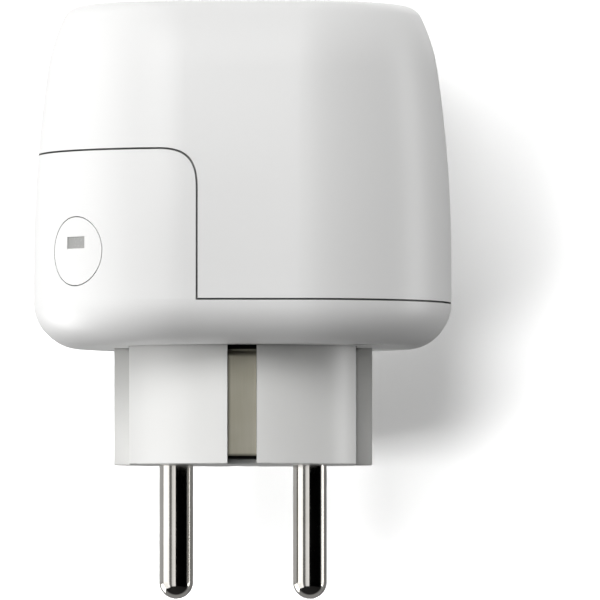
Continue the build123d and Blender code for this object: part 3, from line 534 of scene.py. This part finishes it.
class PM_OT_screws(bpy.types.Operator):
    """Three case screws with a rounded head, a three-lobed drive and a thread"""
    bl_idname = "power_meter.screws"
    bl_label = "Case screws"

    def execute(self, context):
        sizes = context.scene.power_meter_sizes
        _, low, high = middle("case_screws")
        # Zinc plate on steel, left bright: cool grey with a cloudy sheen.
        zinc = worked_metal("bright_zinc_on_steel", "A9ADB0", "BFC2C4", (0.25, 0.4), 0.3)
        tree, given = new_tree("case_screw", {"Head radius": 0.0025, "Head height": 0.002, "Core radius": 0.0012,
                                              "Thread pitch": 0.0009, "Length": high.z - low.z, "Finish": zinc})
        half = calc(tree, "MULTIPLY", given["Head height"], 0.5)
        head_low = add_node(tree, "GeometryNodeMeshCone", {"Vertices": 40, "Radius Top": given["Head radius"], "Radius Bottom":
                            calc(tree, "MULTIPLY", given["Head radius"], 0.78), "Depth": half}).outputs[0]
        head = add_node(tree, "GeometryNodeMeshCylinder", {"Vertices": 40, "Radius": given["Head radius"],
                                                           "Depth": half}).outputs[0]
        head = add_node(tree, "GeometryNodeJoinGeometry", {"Geometry": [head_low, moved(tree, head, vector(tree, z=half))]})
        drive = add_node(tree, "GeometryNodeMeshCylinder", {"Vertices": 3, "Radius": calc(tree, "MULTIPLY", given["Head radius"], 0.55),
                                                            "Depth": given["Head height"]}).outputs[0]
        head = add_node(tree, "GeometryNodeMeshBoolean", {"Mesh 1": head.outputs[0], "Mesh 2": drive}, operation="DIFFERENCE")
        core = add_node(tree, "GeometryNodeMeshCylinder", {"Vertices": 32, "Radius": given["Core radius"],
                                                           "Depth": given["Length"]}).outputs[0]
        run = calc(tree, "SUBTRACT", given["Length"], calc(tree, "MULTIPLY", given["Head height"], 1.3))
        core = moved(tree, core, vector(tree, z=calc(tree, "ADD", calc(tree, "MULTIPLY", given["Length"], 0.5),
                                                     calc(tree, "MULTIPLY", given["Head height"], 0.45))))
        helix = add_node(tree, "GeometryNodeCurveSpiral", {
            "Resolution": 20, "Rotations": calc(tree, "DIVIDE", run, given["Thread pitch"]),
            "Start Radius": given["Core radius"], "End Radius": given["Core radius"], "Height": run}).outputs[0]
        ridge = add_node(tree, "GeometryNodeCurvePrimitiveCircle", {"Resolution": 4, "Radius": 0.0002}).outputs[0]
        thread = add_node(tree, "GeometryNodeCurveToMesh", {"Curve": helix, "Profile Curve": ridge, "Fill Caps": True}).outputs[0]
        thread = moved(tree, thread, vector(tree, z=calc(tree, "MULTIPLY", given["Head height"], 1.05)))
        whole = add_node(tree, "GeometryNodeJoinGeometry", {"Geometry": [
            painted(tree, head.outputs[0], given["Finish"]), painted(tree, core, given["Finish"], True),
            painted(tree, thread, given["Finish"], True)]}).outputs[0]
        whole = moved(tree, whole, vector(tree, z=calc(tree, "MULTIPLY", given["Head height"], 0.25)))
        close_tree(tree, given["Geometry"], whole)
        place = sizes.screw_place
        length = high.z - low.z - 0.0012
        screws = grow("case_screw_set", tree, [(place, -place, low.z), (place, place, low.z), (-place, place, low.z)],
                      Length=length)
        settle(screws, "housing", "screw_steel", "case_screws")
        return {"FINISHED"}


class PM_OT_windings(bpy.types.Operator):
    """The relay's coil and the filter choke, wound turn by turn"""
    bl_idname = "power_meter.windings"
    bl_label = "Windings"

    def execute(self, context):
        # Enamelled copper: warm red brown under a clear glossy coat.
        copper = moulded_plastic("enamelled_copper", "93431F", "AE5A2E", 0.5, (0.18, 0.26), 0.03, **{"Coat Weight": 0.6})
        nylon = moulded_plastic("glass_filled_nylon", "C9C4B4", "D6D1C3", 0.4, (0.4, 0.5), 0.08)
        ferrite = moulded_plastic("sintered_ferrite_drum", "2B2A2B", "383738", 0.25, (0.5, 0.62), 0.12)
        tree, given = new_tree("winding", {"Length": 0.013, "Flange radius": 0.0049, "Flange thickness": 0.0009,
                                           "Winding radius": 0.0041, "Wire radius": 0.0002,
                                           "Wire finish": copper, "Bobbin finish": nylon})
        flange = add_node(tree, "GeometryNodeMeshCylinder", {"Vertices": 48, "Radius": given["Flange radius"],
                                                             "Depth": given["Flange thickness"]}).outputs[0]
        middle_height = calc(tree, "SUBTRACT", calc(tree, "MULTIPLY", given["Length"], 0.5),
                             calc(tree, "MULTIPLY", given["Flange thickness"], 0.5))
        down = calc(tree, "MULTIPLY", middle_height, -1.0)
        flanges = add_node(tree, "GeometryNodeJoinGeometry", {"Geometry": [
            moved(tree, flange, vector(tree, z=middle_height)), moved(tree, flange, vector(tree, z=down))]}).outputs[0]
        run = calc(tree, "SUBTRACT", given["Length"], calc(tree, "MULTIPLY", given["Flange thickness"], 2.0))
        pitch = calc(tree, "MULTIPLY", given["Wire radius"], 2.0)
        line = calc(tree, "SUBTRACT", given["Winding radius"], given["Wire radius"])
        under = add_node(tree, "GeometryNodeMeshCylinder", {"Vertices": 48, "Radius": line, "Depth": run}).outputs[0]
        helix = add_node(tree, "GeometryNodeCurveSpiral", {
            "Resolution": 36, "Rotations": calc(tree, "DIVIDE", calc(tree, "SUBTRACT", run, pitch), pitch),
            "Start Radius": line, "End Radius": line, "Height": calc(tree, "SUBTRACT", run, pitch)}).outputs[0]
        section = add_node(tree, "GeometryNodeCurvePrimitiveCircle", {"Resolution": 8, "Radius": given["Wire radius"]}).outputs[0]
        wire = add_node(tree, "GeometryNodeCurveToMesh", {"Curve": helix, "Profile Curve": section, "Fill Caps": True}).outputs[0]
        low_end = calc(tree, "MULTIPLY", calc(tree, "SUBTRACT", run, pitch), -0.5)
        wire = moved(tree, wire, vector(tree, z=low_end))
        whole = add_node(tree, "GeometryNodeJoinGeometry", {"Geometry": [
            painted(tree, flanges, given["Bobbin finish"]), painted(tree, under, given["Wire finish"], True),
            painted(tree, wire, given["Wire finish"], True)]}).outputs[0]
        close_tree(tree, given["Geometry"], whole)

        centre, low, high = middle("relay_coil")
        coil = grow("relay_winding", tree, [(0, 0, 0)], Length=high.y - low.y)
        coil.data.transform(Matrix.Translation(centre) @ Matrix.Rotation(math.radians(90), 4, "X"))
        settle(coil, "housing", "copper_coil", "relay_coil")
        centre, low, high = middle("filter_choke")
        choke = grow("choke_winding", tree, [centre], **{
            "Length": high.z - low.z, "Flange radius": (high.x - low.x) / 2, "Flange thickness": 0.0012,
            "Winding radius": 0.0034, "Wire radius": 0.00035, "Bobbin finish": ferrite})
        settle(choke, "housing", "copper_coil", "filter_choke")
        return {"FINISHED"}


class PM_OT_spring(bpy.types.Operator):
    """The shutter's coil spring, built at its CAD node's length; the real spring shortens as the shutter opens."""
    bl_idname = "power_meter.spring"
    bl_label = "Shutter spring"

    def execute(self, context):
        centre, low, high = middle("shutter_spring")
        # Hard drawn steel wire: grey, with a bright line along each turn.
        steel = worked_metal("drawn_spring_steel", "8F8F90", "A0A0A1", (0.2, 0.3), 0.1)
        length = high.y - low.y
        tree, given = new_tree("coil_spring", {"Length": length, "Outer radius": (high.x - low.x) / 2,
                                               "Wire radius": 0.0002, "Turns": 8.0, "Finish": steel})
        line = calc(tree, "SUBTRACT", given["Outer radius"], given["Wire radius"])
        helix = add_node(tree, "GeometryNodeCurveSpiral", {
            "Resolution": 32, "Rotations": given["Turns"], "Start Radius": line, "End Radius": line,
            "Height": calc(tree, "SUBTRACT", given["Length"], calc(tree, "MULTIPLY", given["Wire radius"], 2.0))}).outputs[0]
        section = add_node(tree, "GeometryNodeCurvePrimitiveCircle", {"Resolution": 12, "Radius": given["Wire radius"]}).outputs[0]
        wire = add_node(tree, "GeometryNodeCurveToMesh", {"Curve": helix, "Profile Curve": section, "Fill Caps": True}).outputs[0]
        wire = moved(tree, wire, vector(tree, z=given["Wire radius"]))
        close_tree(tree, given["Geometry"], painted(tree, wire, given["Finish"], True))
        spring = grow("shutter_return_spring", tree, [(0, 0, 0)])
        place = Vector((centre.x, low.y, centre.z))
        spring.data.transform(Matrix.Translation(place) @ Matrix.Rotation(math.radians(-90), 4, "X"))
        settle(spring, "housing", "spring_steel", "shutter_spring")
        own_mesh(spring)
        return {"FINISHED"}


class PM_OT_capacitors(bpy.types.Operator):
    """The two bulk capacitors: a sleeve with a crimp groove, and a bare vented top"""
    bl_idname = "power_meter.capacitors"
    bl_label = "Bulk capacitors"

    def execute(self, context):
        _, low, high = middle("bulk_capacitors")
        # Heat-shrunk vinyl over a drawn aluminium can: a dark gloss, with bare matt metal at the top.
        sleeve = moulded_plastic("shrunk_black_vinyl", "15171D", "1E2129", 0.6, (0.2, 0.28), 0.04)
        metal = worked_metal("drawn_aluminium", "C8C9CA", "D4D5D6", (0.3, 0.4), 0.3)
        rubber = moulded_plastic("butyl_bung", "202020", "2A2A2A", 0.3, (0.6, 0.7), 0.1)
        radius = context.scene.power_meter_sizes.can_radius
        height = high.z - low.z
        can = [(0, 0.0002, 2), (radius * 0.72, 0.0002, 2), (radius * 0.78, 0, 0), (radius * 0.94, 0, 0),
               (radius, 0.0003, 0), (radius, 0.0012, 0), (radius * 0.93, 0.0017, 0), (radius * 0.93, 0.002, 0),
               (radius, 0.0025, 0), (radius, height - 0.0007, 0), (radius * 0.95, height - 0.0002, 0),
               (radius * 0.86, height, 0), (radius * 0.8, height, 1), (radius * 0.78, height - 0.0002, 1),
               (radius * 0.06, height - 0.0002, 1), (0, height - 0.0002, 1)]
        places = [Vector((low.x + radius, low.y + radius, low.z)), Vector((high.x - radius, high.y - radius, low.z))]
        cans = [turned(f"bulk_capacitor_{number}", [can], place, (sleeve, metal, rubber))
                for number, place in enumerate(places, 1)]
        for piece in cans:
            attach(piece, "housing")
        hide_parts("bulk_capacitors")
        return {"FINISHED"}


class PM_OT_board_parts(bpy.types.Operator):
    """Solder joints, small chip parts and the radio's printed aerial"""
    bl_idname = "power_meter.board_parts"
    bl_label = "Board parts"

    def execute(self, context):
        _, low, high = middle("main_board")
        tin = worked_metal("reflowed_tin", "B9BBBC", "C9CBCC", (0.16, 0.26), 0.5)
        ceramic = moulded_plastic("fired_ceramic_chip", "8A7560", "9A8570", 0.3, (0.5, 0.6))
        gold = worked_metal("gold_flash_on_copper", "C9A14C", "D6B05C", (0.25, 0.35), 0.4)

        tree, given = new_tree("solder_joint", {"Foot radius": 0.0007, "Height": 0.00035, "Finish": tin})
        cone = add_node(tree, "GeometryNodeMeshCone", {
            "Vertices": 16, "Side Segments": 3, "Radius Bottom": calc(tree, "MULTIPLY", given["Foot radius"], 0.35),
            "Radius Top": given["Foot radius"], "Depth": given["Height"]}).outputs[0]
        close_tree(tree, given["Geometry"], painted(tree, cone, given["Finish"], True))
        joints = [(-22.5, 1.2), (-22.5, 10.8), (-18, 1.2), (-18, 10.8), (-19.5, -4.7), (-16, -4.7), (-10.3, 19.6),
                  (-6.9, 19.6), (-2.5, 19.7), (2.5, 19.7), (7.2, 19.6), (10.8, 19.6), (-5, -22.2), (5, -22.2),
                  (11.2, -22.9), (11.2, -17.9), (16.5, 9.5), (24.6, 9.5), (16.5, -9.5), (24.6, -9.5)]
        feet = [(x * MM, y * MM, low.z - 0.000175) for x, y in joints]
        settle(grow("solder_joints", tree, feet), "housing", "shield_tin")

        tree, given = new_tree("chip_part", {"Length": 0.0016, "Width": 0.0008, "Height": 0.0005,
                                             "Body finish": ceramic, "End finish": tin, "Seed": 4})
        body = add_node(tree, "GeometryNodeMeshCube", {"Size": vector(
            tree, calc(tree, "MULTIPLY", given["Length"], 0.6), given["Width"], given["Height"])}).outputs[0]
        cap = add_node(tree, "GeometryNodeMeshCube", {"Size": vector(
            tree, calc(tree, "MULTIPLY", given["Length"], 0.2), calc(tree, "ADD", given["Width"], 0.00004),
            calc(tree, "ADD", given["Height"], 0.00004))}).outputs[0]
        out = calc(tree, "MULTIPLY", given["Length"], 0.4)
        ends = add_node(tree, "GeometryNodeJoinGeometry", {"Geometry": [
            moved(tree, cap, vector(tree, out)), moved(tree, cap, vector(tree, calc(tree, "MULTIPLY", out, -1.0)))]}).outputs[0]
        chip = add_node(tree, "GeometryNodeJoinGeometry", {"Geometry": [
            painted(tree, body, given["Body finish"]), painted(tree, ends, given["End finish"])]}).outputs[0]
        turn = add_node(tree, "FunctionNodeRandomValue", {"Seed": given["Seed"]}, data_type="INT")
        turn.inputs[4].default_value, turn.inputs[5].default_value = 0, 1
        turn = calc(tree, "MULTIPLY", turn.outputs[2], math.pi / 2)
        close_tree(tree, given["Geometry"], chip, vector(tree, z=turn))
        chips = [(x, y) for y in (3.4, -3.4) for x in (-5.2, -2.6, 0, 2.6, 5.2)]
        chips += [(-8.6, 8.6), (-8.6, 11.2), (-8.6, 13.4), (7, 8.2), (7, 10.6), (7, 13), (-8, -9), (-8, -11.6),
                  (-8, -14.2), (-5, -15.4), (-1.5, -15.4), (2, -15.4), (6.4, -9.4), (6.4, -12), (-11.4, -9), (-11.4, -11.6)]
        feet = [(x * MM, y * MM, high.z + 0.00025) for x, y in chips]
        settle(grow("chip_parts", tree, feet), "housing", "chip")

        # A folded strip of gilt copper, printed on the radio board above its shield.
        centre, low, high = middle("radio_board")
        _, _, shield_top = middle("radio_shield")
        tree, given = new_tree("printed_aerial", {"Strip width": 0.0007, "Strip height": 0.00006, "Finish": gold})
        path = add_node(tree, "GeometryNodeMeshToCurve", {"Mesh": given["Geometry"]}).outputs[0]
        section = add_node(tree, "GeometryNodeCurvePrimitiveQuadrilateral", {
            "Width": given["Strip height"], "Height": given["Strip width"]}).outputs[0]
        strip = add_node(tree, "GeometryNodeCurveToMesh", {"Curve": path, "Profile Curve": section, "Fill Caps": True}).outputs[0]
        add_node(tree, "NodeGroupOutput", {"Geometry": painted(tree, strip, given["Finish"])})
        face = high.y + 0.00004
        foot, head = shield_top.z + 0.0009, high.z - 0.0009
        folds = 10
        route = []
        for fold in range(folds):
            x = centre.x + (fold - (folds - 1) / 2) * 0.0017
            ends = (foot, head) if fold % 2 == 0 else (head, foot)
            route += [(x, face, ends[0]), (x, face, ends[1])]
        aerial = grow("printed_aerial", tree, route, [(i, i + 1) for i in range(len(route) - 1)])
        settle(aerial, "housing", "contact_brass")
        return {"FINISHED"}


class PowerMeterSizes(bpy.types.PropertyGroup):
    """Sizes of the pieces made here"""
    screw_place: bpy.props.FloatProperty(name="Screw place", default=0.0172, min=0.01, max=0.02, unit="LENGTH",
                                         description="How far each screw stands from the two middle planes")
    can_radius: bpy.props.FloatProperty(name="Capacitor radius", default=0.004, min=0.002, max=0.005, unit="LENGTH",
                                        description="Radius of the bulk capacitors")


class PowerMeterStage(bpy.types.PropertyGroup):
    """Brightness of each light, as the white that it would show"""
    low_light: bpy.props.FloatProperty(name="Light from below", default=0.03, min=0, description="Surrounding light below")
    high_light: bpy.props.FloatProperty(name="Light around", default=0.8, min=0, description="Surrounding light around and above")
    left_light: bpy.props.FloatProperty(name="Left softbox", default=1.47, min=0, description="Brightness of the left softbox")
    near_light: bpy.props.FloatProperty(name="Near softbox", default=1.75, min=0, description="Softbox beside the camera")
    key_light: bpy.props.FloatProperty(name="Key softbox", default=4.2, min=0, description="Softbox above left")
    right_light: bpy.props.FloatProperty(name="Right strip", default=3.9, min=0, description="Narrow light at the right")
    rear_low_light: bpy.props.FloatProperty(name="Light low behind", default=0.4, min=0,
                                            description="Surrounding light behind and below the object")
    backdrop_light: bpy.props.FloatProperty(name="Backdrop softbox", default=10.0, min=0,
                                            description="Brightness of the softbox that only lights the backdrop")
    right_dim: bpy.props.FloatProperty(name="Right side", default=0.6, min=0, description="Share of the surrounding light at the right")
    low_left_light: bpy.props.FloatProperty(name="Low left softbox", default=4.7, min=0, description="Softbox below left")
    rear_light: bpy.props.FloatProperty(name="Rear softbox", default=0.8, min=0, description="Softbox behind")


class PowerMeterLook(bpy.types.PropertyGroup):
    """Sizes that the finishes use"""
    edge_round: bpy.props.FloatProperty(name="Edge round (mm)", default=0.06, min=0, description="Round of the mouldings' edges")


class PM_PT_panel(bpy.types.Panel):
    """Lists the pieces"""
    bl_label = "Power meter"
    bl_idname = "PM_PT_panel"
    bl_space_type = "VIEW_3D"
    bl_region_type = "UI"
    bl_category = "Power meter"

    def draw(self, context):
        for operator in OPERATORS:
            self.layout.operator(operator.bl_idname)


OPERATORS = (PM_OT_stage, PM_OT_finishes, PM_OT_screws, PM_OT_windings, PM_OT_spring, PM_OT_capacitors, PM_OT_board_parts)
CLASSES = (PowerMeterSizes, PowerMeterStage, PowerMeterLook, *OPERATORS, PM_PT_panel)


def register():
    for item in CLASSES:
        bpy.utils.register_class(item)
    bpy.types.Scene.power_meter_stage = bpy.props.PointerProperty(type=PowerMeterStage)
    bpy.types.Scene.power_meter_sizes = bpy.props.PointerProperty(type=PowerMeterSizes)
    bpy.types.Scene.power_meter_look = bpy.props.PointerProperty(type=PowerMeterLook)


def unregister():
    del bpy.types.Scene.power_meter_look
    del bpy.types.Scene.power_meter_sizes
    del bpy.types.Scene.power_meter_stage
    for item in reversed(CLASSES):
        bpy.utils.unregister_class(item)


def main():
    """Registers the add-on and builds every piece in order."""
    register()
    for operator in OPERATORS:
        space, name = operator.bl_idname.split(".")
        getattr(getattr(bpy.ops, space), name)()


if __name__ == "__main__":
    main()
